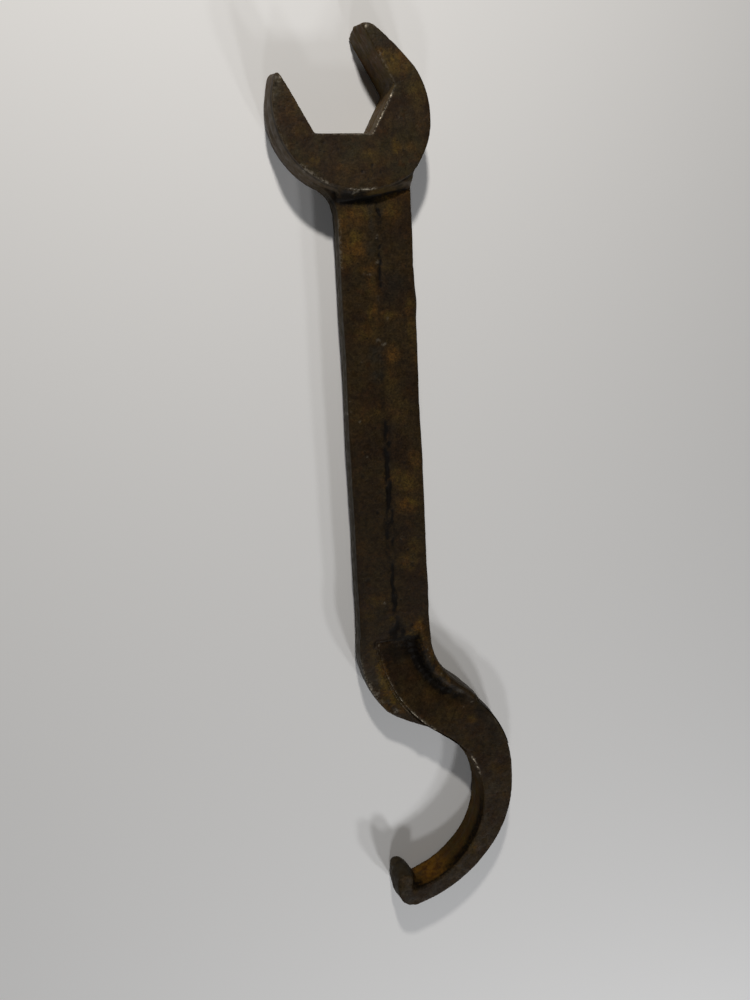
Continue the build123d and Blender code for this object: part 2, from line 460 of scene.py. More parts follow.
def edge_softness(points):
    """How much to smooth the tips, the nib, the throat of the bend and the foot of the head."""
    height = np.abs(points[:, 2] - MID_Z)
    soft = hump(points[:, 1], FOOT_Y, 1.3) * ramp(height, 4.2, 5.0)
    for place, reach, core, strength in SOFT_PLACES:
        soft += strength * near(points, place, reach, core)
    return np.clip(soft, 0, 1)


def trough_softness(points, bend):
    """How much to smooth the line where the bar meets the rib."""
    ends = ramp(bend.right_along, 42.0, 36.0) * ramp(points[:, 1], -176.5, -178.5)
    return hump(bend.right, 0.3, 1.4) * ends


def groove_depth(points):
    """Depth of the groove, broken up along its length and different on the two faces."""
    x, y, z = points.T
    face_y = np.where(z < MID_Z, GROOVE_MIRROR_Y - y, y)
    middle = np.interp(face_y, GROOVE[:, 1], GROOVE[:, 0]) + 0.35 * noise(points, 3.0, 41)
    depth = np.interp(face_y, GROOVE_DEPTH[:, 0], GROOVE_DEPTH[:, 1])
    width = np.interp(face_y, GROOVE_DEPTH[:, 0], GROOVE_DEPTH[:, 2])
    upper = ramp(face_y, -100.0, -85.0)
    long_gaps = 1.5 * noise(points * (1, 0.6, 1), 2.2, 42)
    short_gaps = 1.7 * upper * noise(points, 1.7, 43)
    broken = np.clip(0.65 - 0.45 * upper + long_gaps + short_gaps, 0.0, 1.6)
    on_shank = ramp(y, FOOT_Y, FOOT_Y - 2.0) * ramp(y, -180.0, -176.5)
    return depth * broken * hump(x, middle, width) * on_shank


def forged_relief(points, sideways):
    """Height of hammer waves, grain, pits, chipped edges and the line where the dies met."""
    height = np.abs(points[:, 2] - MID_Z)
    wall = ramp(sideways, 0.5, 0.9)
    on_shank = ramp(points[:, 1], -30.0, -33.0)
    waves = sum(size * noise(points, scale, seed) for size, scale, seed in HAMMER_WAVES)
    grain = 0.040 * fractal(points, 1.7, 21) * (0.6 + 0.8 * on_shank)
    big_pits = 0.25 * pits(points, 7.0, 1.7, 31, 0.30) * ramp(noise(points, 15.0, 32), -0.1, 0.3)
    small_pits = 0.17 * pits(points, 2.6, 0.85, 33, 0.30) * ramp(noise(points, 11.0, 34), -0.2, 0.3)
    die_line = 0.14 * hump(height, 0.0, 0.5) - 0.10 * hump(height, 2.0, 0.5)
    on_edge = ramp(sideways, 0.1, 0.25) * ramp(sideways, 0.85, 0.6)
    chips = 0.22 * pits(points, 4.2, 1.5, 35, 0.4) * on_edge
    bulge = 0.5 * near(points, (22.0, -63.5), 7.0) - 0.25 * near(points, (21.8, -52.0), 5.0)
    rough = (1 - 0.6 * wall) * (grain - big_pits - small_pits)
    return waves + rough + ramp(sideways, 0.6, 0.85) * die_line - chips + bulge * wall


def shape_forging(surface):
    """Rounds the edges and gives the surface its hammered, pitted and worn relief."""
    surface.smooth(1)
    walls = ramp(np.abs(surface.normals()[:, 2]), 0.45, 0.25)
    surface.smooth(WALL_ROUNDS, walls)
    surface.smooth(1)
    shaped = surface.points
    shape_bend(shaped)
    fill_hollow_ends(shaped)
    lean_nib(shaped)
    for tip, reach, drop in WORN_TIPS:
        round_tip(shaped, tip, reach, drop)
    bend = Bend(shaped)
    surface.smooth(BEND_ROUNDS, bend_softness(shaped, bend))
    surface.smooth(EDGE_ROUNDS, edge_softness(shaped))
    surface.smooth(TROUGH_ROUNDS, trough_softness(shaped, bend))
    sideways = 1 - np.abs(surface.normals()[:, 2])
    surface.push(forged_relief(surface.points, sideways))
    surface.push(-groove_depth(surface.points) * ramp(sideways, 0.5, 0.15))


# ---------------------------------------------------------------- stains, painted shade and painted highlights, as layers for the materials

# Patches on the upper face: x, y, half width, half length, strength
ORANGE_PATCHES = [
    (17, 6, 5, 3.5, 0.6), (12.6, 8.6, 1.5, 1.5, 0.8), (23, -2, 2.5, 5, 0.3), (16, -17.5, 1.5, 2.2, 0.65),
    (21, -17.5, 2, 1.5, 0.35), (7.5, -19.5, 3, 1.4, 0.4), (9.5, -22, 4, 2, 0.2),
    (-9.5, -21.3, 1.6, 1.2, 0.55), (-15, -7, 2, 5, 0.25), (-13, -12.5, 3, 2, 0.25), (0, -24, 5, 2, 0.15),
    (15.5, -30.2, 6, 1.6, 0.9), (3.5, -36, 5, 3.2, 0.65), (-1, -38.5, 2, 3, 0.6),
    (15.5, -35, 2.6, 3.6, 0.55), (2.5, -45.5, 3.6, 4, 0.8), (-0.5, -49, 2, 4, 0.5),
    (6.5, -53, 3, 1.2, 0.6), (7.5, -66, 1.6, 3, 0.7), (8, -58, 2, 2.6, 0.45), (19.5, -65, 1.6, 3, 0.45),
    (12.5, -67.3, 3, 1.2, 0.55), (5, -72, 4, 3, 0.35), (13, -79.6, 2.3, 3.0, 0.7),
    (20, -72, 1.4, 5, 0.35), (14, -97, 4, 4.5, 0.3), (12, -88, 2.2, 3.5, 0.3), (3, -98, 5, 3, 0.2),
    (13, -120, 2, 3, 0.5), (16.3, -122, 3, 3.6, 0.7), (16, -129.5, 3.8, 2.6, 0.85), (15, -150, 3, 3, 0.6),
    (17.5, -145, 2, 4, 0.35), (19, -115, 1.8, 4, 0.4), (4, -162, 4, 2.2, 0.45),
    (18, -173.5, 1.9, 1.8, 1.2), (14.8, -176, 3, 1.0, 0.7), (8, -169.4, 1.2, 1.0, 0.5),
    (19, -180, 1.4, 4, 0.8), (21.4, -184.5, 1.2, 4, 0.65), (24.2, -189.5, 1.2, 4, 0.5),
    (27.4, -194, 1.0, 3, 0.4), (4.6, -193, 1.7, 6, 1.3), (7.0, -198.5, 1.7, 3.4, 1.3),
    (3.4, -188, 1.5, 4, 0.8), (10.4, -202.5, 1.6, 2.4, 0.75), (1, -181, 1.8, 4, 0.3),
    (36, -211, 2, 1.4, 0.5), (30, -207, 5, 3, 0.2), (35, -263.5, 2, 2.4, 0.4), (46, -234, 2, 3, 0.2),
    (26, -268, 2.4, 1.6, 0.2),
]
DARK_PATCHES = [
    # Painted shade in the crease under the foot of the head: the first three patches
    (0, -31.7, 4.5, 1.8, 1.4), (5.5, -31.6, 4, 1.3, 1.2), (9, -31.2, 3, 0.8, 0.6), (10, -24, 7, 1.5, 0.3),
    (16, -29.6, 6, 1.6, 0.4), (22, -24, 1.6, 2, 0.5), (17, -13, 3, 1, 0.25), (2, -16, 5, 1.5, 0.15),
    (10.8, -37.5, 0.9, 4, 0.6), (10.2, -52, 0.8, 2, 0.4), (14.5, -57.5, 3, 3.4, 0.5),
    (13, -61.8, 2.6, 1.6, 0.5), (11.8, -44, 0.9, 3, 0.35), (16, -82.3, 2.6, 0.8, 0.55),
    (9.4, -93, 0.8, 7, 0.35), (10.2, -104, 1.2, 3, 0.55), (9.9, -112, 1.0, 6, 0.75),
    (9.6, -125, 1.2, 7, 0.9), (9.0, -137, 2.0, 4, 0.7), (8.3, -145, 1.4, 3, 0.55),
    (11.5, -139, 1.0, 3, 0.5), (10, -155, 0.9, 3, 0.5), (9.8, -163, 1.1, 4.5, 0.95),
    # Grime and painted shade round the bar's squared end: the first two patches here, and (8.5, -181) on
    # the next line
    (10.4, -174.5, 3.4, 3.6, 0.8), (12.0, -177.0, 4.0, 1.6, 0.7), (6, -150, 14, 28, 0.26),
    (-1.6, -135, 0.9, 18, 0.4), (-2.0, -171, 1.4, 8, 0.5), (8.5, -181.0, 5, 4, 0.75),
    # Grime and painted shade in the trough along the bar's right edge: this line and the next
    (15.2, -180.5, 4.2, 4.5, 1.2), (18.0, -185, 2.2, 5, 1.3), (20.6, -190, 2.2, 4, 1.3),
    (23.4, -195, 2.6, 2.8, 1.3), (27.5, -198.4, 3.2, 1.8, 1.1), (31.5, -201.3, 3, 1.6, 0.7),
    (5.6, -187, 1.0, 5, 0.7), (8.5, -195, 1.2, 4, 0.4), (7.2, -264.4, 1.3, 0.9, 0.6),
    (14, -274.5, 2.2, 1.6, 0.7), (12, -268, 1.2, 1.0, 0.5), (44, -219, 2.0, 4, 0.45),
    (39.5, -209.5, 3, 3, 0.5), (38, -221, 2, 3, 0.2), (44, -246, 2, 2, 0.25),
]
BLUE_PATCHES = [
    (8.4, -37.5, 1.3, 5, 0.8), (7.5, -46, 2.4, 3, 0.6), (7.5, -79, 2.4, 3, 0.8), (8.0, -86, 1.6, 2, 0.9),
    (14.5, -58, 3, 3.4, 0.5), (12, -103.5, 2, 2, 0.35), (35, -204, 3, 1.6, 0.5),
    (39.5, -207.5, 2.4, 2.6, 0.7), (43, -213, 2.0, 3.5, 0.7), (46.5, -219, 1.6, 5, 0.5),
    (44, -241, 3, 2.4, 0.35), (49, -250, 1.6, 7, 0.35), (43, -262, 2.2, 4, 0.3),
    (8.2, -277, 3.4, 4, 0.45), (5, -270, 1.6, 5, 0.35), (24, -277, 9, 2, 0.3), (30, -273, 6, 2, 0.35),
    (0, -192, 1.6, 6, 0.5), (-3, -185, 1.2, 6, 0.6), (13, 13, 3, 2.5, 0.5), (2, -18, 6, 3, 0.25),
    (-8, -17, 3, 2, 0.3), (20, -8, 4, 4, 0.2),
]
# Worn edges, where the metal shines, which also paint highlights along the edges: paths with a half width
# and a strength
WORN_EDGES_AND_HIGHLIGHTS = [
    ([(-18.4, 1.0), (-19.6, -2.5), (-19.5, -9), (-17.5, -16.5)], 0.8, 0.4),
    ([(-18.0, 1.6), (-18.9, -1.0)], 0.5, 0.9),
    ([(-13.5, -22.5), (-10, -25), (-6, -27.5)], 0.5, 0.9),
    ([(0.5, -29.5), (4, -29.7), (8.5, -29.4)], 0.5, 1.0),
    ([(8.6, 15.8), (10.4, 15.6)], 0.5, 0.6),
    ([(15.9, -2.0), (13.5, -6.0), (8.4, -13.9)], 0.5, 1.0),
    ([(8.0, -13.9), (-8.2, -13.2)], 0.6, 0.5),
    ([(-8.2, -13.2), (-16.0, 0.5)], 0.5, 0.3),
    ([(16.0, 0.0), (11.4, 8.5)], 0.6, 0.5),
    ([(-2.4, -38), (-2.4, -52)], 0.7, 0.7),
    ([(3.0, -178.0), (4.0, -183.5), (5.4, -189)], 0.6, 0.9),
    ([(5.4, -189), (7.6, -195.5), (11.3, -202), (16.5, -207.5), (21.5, -212.5)], 0.6, 1.7),
    ([(-3.0, -184), (-1.0, -192), (3.2, -198.5), (9.0, -204.0)], 1.0, 0.6),
    ([(35.6, -226), (37.9, -232), (38.6, -240), (38.4, -249)], 0.45, 1.4),
    ([(44.5, -213), (49.5, -225), (51.2, -238)], 0.7, 0.35),
    ([(26, -279.5), (38, -270.5)], 0.7, 0.3),
]
# Small worn spots, which also paint glints: x, y, half width, half length, strength
WORN_SPOTS_AND_GLINTS = [
    (1.6, -196.8, 0.7, 1.6, 0.6), (0, -193.3, 0.5, 1.4, 0.45), (3.6, -199.4, 0.6, 0.9, 0.5),
    (8.8, -203.9, 1.1, 0.5, 0.8), (-12.3, -23.4, 0.64, 0.4, 0.56), (-10.3, -24.8, 0.56, 0.4, 0.5),
    (-7.5, -26.6, 0.72, 0.4, 0.37), (3, -29.8, 1.6, 0.4, 0.5), (7, -29.7, 1.28, 0.4, 0.5),
    (-18.3, 0.6, 0.48, 0.72, 0.56), (8.8, 15.2, 0.56, 0.4, 0.5), (11, -76.4, 0.64, 0.4, 0.62),
    (9, -75.2, 0.72, 0.4, 0.37), (10.2, -42.8, 0.4, 0.56, 0.5), (9.9, -50.5, 0.48, 0.48, 0.37),
    (9.3, -62, 0.4, 0.72, 0.31), (2.7, -111.9, 0.48, 0.32, 0.43), (4.2, -111.4, 0.32, 0.24, 0.37),
    (6.1, -163.2, 0.56, 0.32, 0.5), (14, -141.2, 0.4, 0.4, 0.31), (1.3, -100, 0.4, 0.32, 0.37),
    (3.7, -81.2, 0.48, 0.4, 0.25), (6.2, -54.3, 1.28, 0.32, 0.31), (20.6, -181.8, 0.4, 0.48, 0.56),
    (21.2, -184.6, 0.4, 0.48, 0.37), (25.1, -192.3, 0.4, 0.48, 0.5), (36.8, -204.2, 0.48, 0.4, 0.43),
    (12.5, -67.4, 0.48, 0.4, 0.25), (-2.6, -93.4, 0.8, 0.24, 0.56), (-3, -97.4, 0.96, 0.24, 0.56),
    (12, 8.2, 0.4, 0.32, 0.56), (17.3, -9.4, 0.48, 0.32, 0.37), (16.3, -19.6, 0.4, 0.32, 0.37),
    (32.8, -206, 0.4, 0.32, 0.31), (17.5, -188.5, 0.32, 0.4, 0.31), (18, -173.8, 0.56, 0.48, 0.25),
    (30, -257, 0.48, 0.4, 0.19),
]
# Strengths of the dark lines
HORN_LINE = 0.7
SHANK_LINE = 0.45
BAR_END_LINE = 0.7
# Scattered patches on both faces: shift, size, seed, the noise at their rim and at their full strength,
# strength on the upper face, and what is added underneath
SCATTERED = {
    "orange": (0.0, 9.0, 51, 0.18, 0.55, 0.22, 0.45),
    "dark": (40.0, 8.0, 52, 0.25, 0.6, 0.0, 0.6),
    "blue": (80.0, 10.0, 53, 0.2, 0.6, 0.15, 0.5),
}
# Edges and hollows: how far the skin stands out or in, in millimetres, for the full value
FINE_ROUNDS = 3
BROAD_ROUNDS = 30
EDGE_STARTS = 0.012
EDGE_RELIEF = 0.05
PIT_RELIEF = 0.04
BROAD_PIT_RELIEF = 0.2


def patch_layer(points, patches, seed):
    """Strength of the nearest patches, with ragged edges, on the upper side of the forging."""
    ragged = points[:, :2].T.copy()
    for axis in range(2):
        first_seed = seed + 2 * axis
        ragged[axis] += 0.9 * noise(points, 3.2, first_seed) + 0.4 * noise(points, 1.2, first_seed + 1)
    total = np.zeros(len(points))
    for x, y, half_width, half_length, strength in patches:
        away = ((ragged[0] - x) / half_width) ** 2 + ((ragged[1] - y) / half_length) ** 2
        total = np.maximum(total, strength * np.exp(-0.8 * away ** 1.5))
    return total * ramp(points[:, 2], MID_Z - 1.0, MID_Z + 1.5)


def scattered_layer(points, kind):
    """Strength of the scattered patches of one kind of stain."""
    shift, size, seed, rim, full, upper, added = SCATTERED[kind]
    under = ramp(points[:, 2], MID_Z + 1.0, MID_Z - 1.0)
    return ramp(fractal(points + shift, size, seed), rim, full) * (upper + added * under)


def stroke_layer(points, strokes):
    """Strength of the nearest worn paths, which also paint highlights, on the upper side."""
    total = np.zeros(len(points))
    for path, half_width, strength in strokes:
        away, _ = side_of_path(points, np.array(path, dtype=float))
        total = np.maximum(total, strength * hump(away, 0.0, half_width))
    return total * ramp(points[:, 2], MID_Z + 1.0, MID_Z + 3.0)


def edges_and_pits(surface, wall):
    """Sharp edges, and pits and hollows, which are weaker on walls and along the bar's left edge."""
    fine = surface.relief(FINE_ROUNDS)
    broad = surface.relief(BROAD_ROUNDS)
    edge = np.clip((fine - EDGE_STARTS) / EDGE_RELIEF, 0, 1)
    pit = np.clip(-fine / PIT_RELIEF, 0, 1) + 0.4 * np.clip(-broad / BROAD_PIT_RELIEF, 0, 1)
    beside_bar, _ = side_of_path(surface.points, BAR_LEFT_EDGE)
    bar_edge = ramp(np.abs(beside_bar), 2.4, 1.2) * ramp(surface.points[:, 1], -177.5, -180.0)
    return edge, pit * (1 - 0.8 * bar_edge) * (1 - 0.75 * wall)


def hook_wall_stains(points, wall):
    """The hook's inner wall, the grime and painted shade along its upper part, and the amber rust beside
    the nib.
    """
    x, y, z = points.T
    height = np.abs(z - MID_Z)
    inner, _ = side_of_path(points, HOOK_INNER_EDGE)
    hook_wall = wall * ramp(np.abs(inner), 2.2, 1.4) * ramp(y, -218.0, -226.0)
    upper_part = ramp(height, 1.6, 4.2) * ramp(z, MID_Z, MID_Z + 1)
    grime_and_shade = hook_wall * upper_part * (0.35 + 0.75 * ramp(y, -238.0, -252.0))
    from_corner = np.hypot((x - 19.5) / 7.0, (y + 273.0) / 6.0) + 0.3 * noise(points, 3.0, 95)
    amber = hook_wall * ramp(from_corner, 1.7, -0.2) * ramp(height, 6.2, 4.5)
    return hook_wall, grime_and_shade, amber


def wall_dark_lines(points, wall):
    """Dark lines along the walls: under the edge of the head's left horn and along the shank."""
    x, y, z = points.T
    height = np.abs(z - MID_Z)
    on_horn = (x < 0) & (y > FOOT_Y + 1.0)
    on_shank = (y < FOOT_Y - 3.0) & (y > -200.0)
    horn_line = HORN_LINE * ramp(height, 5.7, 6.4) * ramp(height, 7.6, 7.1) * on_horn
    shank_line = SHANK_LINE * hump(height, 2.1, 0.45) * on_shank
    return wall * (horn_line + shank_line)


def bar_end_shade_line(points):
    """Dark line along the squared end of the bar: painted shade in the small step there."""
    x, y, _ = points.T
    from_end, _ = side_of_path(points, np.array([BAR_LEFT_EDGE[0], BAR_RIGHT_EDGE[0]]))
    near_end = np.abs(y - BAR_END_Y + 1.0) < 4.0
    return BAR_END_LINE * hump(from_end, 0.0, 0.6) * ramp(x, 4.8, 6.2) * near_end


def stain_layers(surface):
    """Values at each vertex that tell the materials where the rust, grime and worn metal are, and where
    shade and highlights are painted.
    """
    points = surface.points
    x, y, z = points.T
    wall = ramp(np.abs(surface.normals()[:, 2]), 0.75, 0.35)
    edge, pit = edges_and_pits(surface, wall)
    hook_wall, hook_grime_and_shade, amber = hook_wall_stains(points, wall)
    jaw_wall = wall * ramp(np.hypot(x, y), 23.0, 19.0) * ramp(x, 4.0, 8.0)
    head_wall = wall * (x < 4.0) * ramp(y, FOOT_Y, FOOT_Y + 3.0)
    foot = hump(y, FOOT_Y, 2.5) * ramp(np.abs(z - MID_Z), 3.4, 4.2) * ramp(x, -3.5, -2.0)

    orange = patch_layer(points, ORANGE_PATCHES, 61) + scattered_layer(points, "orange")
    orange += 0.55 * hook_wall + 0.8 * jaw_wall + 0.4 * head_wall + 0.5 * foot * wall
    # The dark layer is grime, with painted shade under the head's foot, round the bar's end, beside the
    # bar and on the hook's inner wall
    dark = patch_layer(points, DARK_PATCHES, 71) + scattered_layer(points, "dark")
    dark += np.clip(1.8 * groove_depth(points), 0, 1) + hook_grime_and_shade + bar_end_shade_line(points)
    dark = dark * (1 - 0.9 * amber) + wall_dark_lines(points, wall)
    blue = patch_layer(points, BLUE_PATCHES, 81) + scattered_layer(points, "blue")
    # Worn metal along edges and in spots, with painted highlights and glints
    worn_and_highlight = stroke_layer(points, WORN_EDGES_AND_HIGHLIGHTS) * np.clip(0.1 + 1.3 * edge, 0, 1)
    worn_and_highlight += patch_layer(points, WORN_SPOTS_AND_GLINTS, 91)
    bare_wall = wall * (1 - 0.8 * ramp(jaw_wall + hook_wall + foot, 0.2, 0.8))
    return {
        "orange": orange, "dark": dark, "blue": blue, "worn_and_highlight": worn_and_highlight, "edge": edge, "pit": pit,
        "wall": bare_wall, "yellow": amber, "side": wall,
    }


# ---------------------------------------------------------------- pieces

def nearest_section(places):
    """Index of the CAD section nearest to each place in metres."""
    graph = bpy.context.evaluated_depsgraph_get()
    trees = [BVHTree.FromObject(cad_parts[name], graph) for name in NODES]
    away = [[tree.find_nearest(Vector(place))[3] for tree in trees] for place in places]
    return np.array(away).argmin(axis=1)


def section_mesh(name, quads, surface, normals, layers):
    """Mesh of some quads of the forging, with its stain layers and the whole forging's normals."""
    used, local = np.unique(quads, return_inverse=True)
    faces = [tuple(dict.fromkeys(quad)) for quad in local.reshape(quads.shape).tolist()]
    mesh = bpy.data.meshes.new(name)
    mesh.from_pydata((surface.points[used] * MM).tolist(), [], faces)
    mesh.shade_smooth()
    for layer, values in layers.items():
        attribute = mesh.attributes.new(layer, "FLOAT", "POINT")
        attribute.data.foreach_set("value", values[used].astype(np.float32))
    mesh.normals_split_custom_set_from_vertices(normals[used].tolist())
    return mesh


def split_pieces(surface, layers):
    """One object for each section, made of the faces nearest to that section of the CAD model."""
    owner = nearest_section(surface.points[surface.quads].mean(axis=1) * MM)
    normals = surface.normals()
    pieces = {}
    for index, name in enumerate(NODES):
        mesh = section_mesh(name + "_forging", surface.quads[owner == index], surface, normals, layers)
        piece = bpy.data.objects.new(name + "_forging", mesh)
        bpy.context.scene.collection.objects.link(piece)
        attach(piece, "root")
        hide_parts(name)
        pieces[name] = piece
    return pieces


surface = Surface(*remeshed_forging())
shape_forging(surface)
pieces = split_pieces(surface, stain_layers(surface))


# ---------------------------------------------------------------- material

# Colours of the rusted surface, in linear red, green and blue
PALETTE = {
    "red_brown": (0.0200, 0.0105, 0.0040),
    "brown": (0.0280, 0.0165, 0.0055),
    "olive": (0.0225, 0.0180, 0.0065),
    "warm_brown": (0.0400, 0.0180, 0.0052),
    "orange_rust": (0.080, 0.0365, 0.0055),
    "yellow_rust": (0.076, 0.0460, 0.0068),
    "dark_amber": (0.072, 0.025, 0.0040),
    "amber": (0.180, 0.080, 0.0060),
    "blue_scale": (0.0190, 0.0170, 0.0125),
    "dust": (0.075, 0.058, 0.030),
    # Near-black, for grime and for painted shade in creases and beside the bar
    "grime_and_shade": (0.0026, 0.0018, 0.0012),
    # Light worn metal, which also paints highlights and glints on edges
    "worn_metal_and_highlight": (0.21, 0.18, 0.135),
}
# Tone of the whole colour, share of olive brown, size of the finest mottling in millimetres, colour of
# the bare side walls, and specular level
STEELS = {
    "head_steel": (1.08, 0.6, 0.50, (0.082, 0.061, 0.042), 0.17),
    "shank_steel": (0.97, 0.30, 0.55, (0.045, 0.037, 0.024), 0.12),
    "hook_steel": (0.98, 0.30, 0.50, (0.036, 0.030, 0.021), 0.05),
}
# Greatest share of each stain, the grime with its painted shade among them, over the colour beneath it,
# and of metal where the steel is worn
RUST_COVER = 0.95
AMBER_COVER = 0.9
BLUE_COVER = 0.75
GRIME_AND_SHADE_COVER = 0.92
METAL_SHARE = 0.5
# How much weaker mottling and bump are on the side walls, and the bump's strength and height
SIDE_CALM = 0.65
BUMP_STRENGTH = 0.7
BUMP_HEIGHT = 0.16


class Nodes:
    """Short calls that add shader nodes to one material, whose palette colours all have one tone."""

    def __init__(self, material, tone):
        self.tree = material.node_tree
        self.tone = tone
        self.coordinates = self.tree.nodes.new("ShaderNodeTexCoord").outputs["Object"]

    def put(self, socket, value):
        """Links an output to a socket, or sets the socket to a constant."""
        if isinstance(value, bpy.types.NodeSocket):
            self.tree.links.new(value, socket)
        else:
            socket.default_value = value

    def add(self, kind, **values):
        """New node of a kind, with values for its named inputs."""
        node = self.tree.nodes.new(kind)
        for name, value in values.items():
            self.put(node.inputs[name], value)
        return node

    def colour(self, name):
        """Colour from the palette, in this material's tone."""
        red, green, blue = PALETTE[name]
        return (red * self.tone, green * self.tone, blue * self.tone, 1.0)

    def noise(self, size, detail=3.0, roughness=0.55, distortion=0.0):
        """Noise with features of a size in millimetres, from 0 to 1."""
        look = {"Detail": detail, "Roughness": roughness, "Distortion": distortion}
        scale = 1 / (size * MM)
        node = self.add("ShaderNodeTexNoise", Vector=self.coordinates, Scale=scale, **look)
        return node.outputs["Fac"]

    def cells(self, size):
        """Distance to the nearest of scattered points, in cells of a size in millimetres."""
        node = self.add("ShaderNodeTexVoronoi", Vector=self.coordinates, Scale=1 / (size * MM))
        return node.outputs["Distance"]

    def layer(self, name):
        """Value of one of the mesh's stain layers."""
        node = self.add("ShaderNodeAttribute")
        node.attribute_name = name
        return node.outputs["Fac"]

    def math(self, operation, first, second, clamp=False):
        """Result of one operation on two values."""
        node = self.add("ShaderNodeMath")
        node.operation = operation
        node.use_clamp = clamp
        self.put(node.inputs[0], first)
        self.put(node.inputs[1], second)
        return node.outputs[0]

    def times(self, first, second, clamp=False):
        """Product of two values."""
        return self.math("MULTIPLY", first, second, clamp)

    def plus(self, first, second):
        """Sum of two values."""
        return self.math("ADD", first, second)

    def spread(self, value, low, high, start=0.0, end=1.0):
        """Maps low..high smoothly to start..end."""
        ends = {"From Min": low, "From Max": high, "To Min": start, "To Max": end}
        node = self.add("ShaderNodeMapRange")
        node.interpolation_type = "SMOOTHSTEP"
        for name, number in ends.items():
            self.put(node.inputs[name], number)
        self.put(node.inputs["Value"], value)
        return node.outputs["Result"]

    def blend(self, share, under, over, kind="MIX"):
        """Mixes two colours."""
        node = self.add("ShaderNodeMix")
        node.data_type = "RGBA"
        node.blend_type = kind
        self.put(node.inputs["Factor"], share)
        self.put(node.inputs["A"], under)
        self.put(node.inputs["B"], over)
        return node.outputs["Result"]


def clouded_brown(nodes, olive):
    """Dark brown scale with large red, olive and warm clouds."""
    large = nodes.spread(nodes.noise(13.0, detail=4.0), 0.38, 0.62)
    medium = nodes.times(nodes.spread(nodes.noise(6.0), 0.42, 0.66), olive)
    small = nodes.spread(nodes.noise(3.6, roughness=0.6), 0.56, 0.70, end=0.5)
    brown = nodes.blend(large, nodes.colour("red_brown"), nodes.colour("brown"))
    brown = nodes.blend(medium, brown, nodes.colour("olive"))
    return nodes.blend(small, brown, nodes.colour("warm_brown"))


def rusted(nodes, under, bloom, speckle):
    """Rust bloom, amber rust and bluish scale over the colour beneath."""
    rust_clouds = nodes.spread(nodes.noise(4.5, detail=2.0), 0.40, 0.60)
    rust = nodes.blend(rust_clouds, nodes.colour("orange_rust"), nodes.colour("yellow_rust"))
    amber_clouds = nodes.spread(nodes.noise(2.4), 0.35, 0.60)
    amber = nodes.blend(amber_clouds, nodes.colour("dark_amber"), nodes.colour("amber"))
    blue = nodes.times(nodes.layer("blue"), nodes.spread(speckle, 0.3, 0.65, 0.5, 1.1), clamp=True)
    stained = nodes.blend(nodes.times(bloom, RUST_COVER), under, rust)
    stained = nodes.blend(nodes.times(nodes.layer("yellow"), AMBER_COVER, clamp=True), stained, amber)
    return nodes.blend(nodes.times(blue, BLUE_COVER), stained, nodes.colour("blue_scale"))


def mottled(nodes, under, on_face, grain):
    """Light and dark mottling in two sizes, which is weaker on walls, and specks of dust."""
    mottle = nodes.spread(nodes.noise(1.5, roughness=0.6, distortion=0.8), 0.32, 0.68, 0.74, 1.32)
    fine_grain = nodes.spread(nodes.noise(grain, detail=2.0, roughness=0.7), 0.28, 0.72, 0.72, 1.30)
    dust = nodes.spread(nodes.noise(0.8, detail=2.0, roughness=0.6), 0.66, 0.76, end=0.35)
    under = nodes.blend(on_face, under, mottle, "MULTIPLY")
    under = nodes.blend(on_face, under, fine_grain, "MULTIPLY")
    return nodes.blend(dust, under, nodes.colour("dust"))


def grime_and_shade_share(nodes, speckle):
    """Share of grime and painted shade: in dark patches, some of which are painted shade, in pits and,
    away from walls, in small specks.
    """
    specks = nodes.spread(nodes.noise(0.9, detail=2.0, roughness=0.6, distortion=0.6), 0.36, 0.26, end=0.8)
    specks = nodes.times(specks, nodes.math("SUBTRACT", 1.0, nodes.layer("side"), clamp=True))
    patches = nodes.times(nodes.layer("dark"), nodes.spread(speckle, 0.3, 0.7, 1.15, 0.6))
    grime_and_shade = nodes.plus(patches, nodes.times(nodes.layer("pit"), 0.6))
    return nodes.math("MAXIMUM", grime_and_shade, specks, clamp=True)


def shine_share(nodes):
    """Share of bare metal and painted highlight: on worn places and a little on all sharp edges, broken by
    scratches.
    """
    scratches = nodes.spread(nodes.noise(0.9, detail=2.0, roughness=0.7), 0.42, 0.60, 0.05, 1.1)
    shine = nodes.plus(nodes.layer("worn_and_highlight"), nodes.times(nodes.layer("edge"), 0.07))
    return nodes.times(shine, scratches, clamp=True)


def roughness(nodes, bloom, grime_and_shade, shine):
    """Roughness, which rust and grime, with the painted shade, raise and bare metal lowers."""
    rough = nodes.spread(nodes.noise(2.2), 0.3, 0.7, 0.44, 0.66)
    rough = nodes.plus(rough, nodes.times(bloom, 0.14))
    rough = nodes.plus(rough, nodes.times(grime_and_shade, 0.15))
    return nodes.math("SUBTRACT", rough, nodes.times(shine, 0.18), clamp=True)


def grainy_normal(nodes, on_face):
    """Normal with the finest grain and small round pits, which are weaker on walls."""
    height = nodes.times(nodes.noise(0.55, roughness=0.6), 0.55)
    height = nodes.plus(height, nodes.times(nodes.noise(1.7, roughness=0.6), 0.9))
    height = nodes.plus(height, nodes.spread(nodes.cells(1.5), 0.05, 0.30, start=-0.35, end=0.0))
    strength = nodes.times(on_face, BUMP_STRENGTH)
    bump = nodes.add("ShaderNodeBump", Strength=strength, Distance=BUMP_HEIGHT * MM, Height=height)
    return bump.outputs["Normal"]


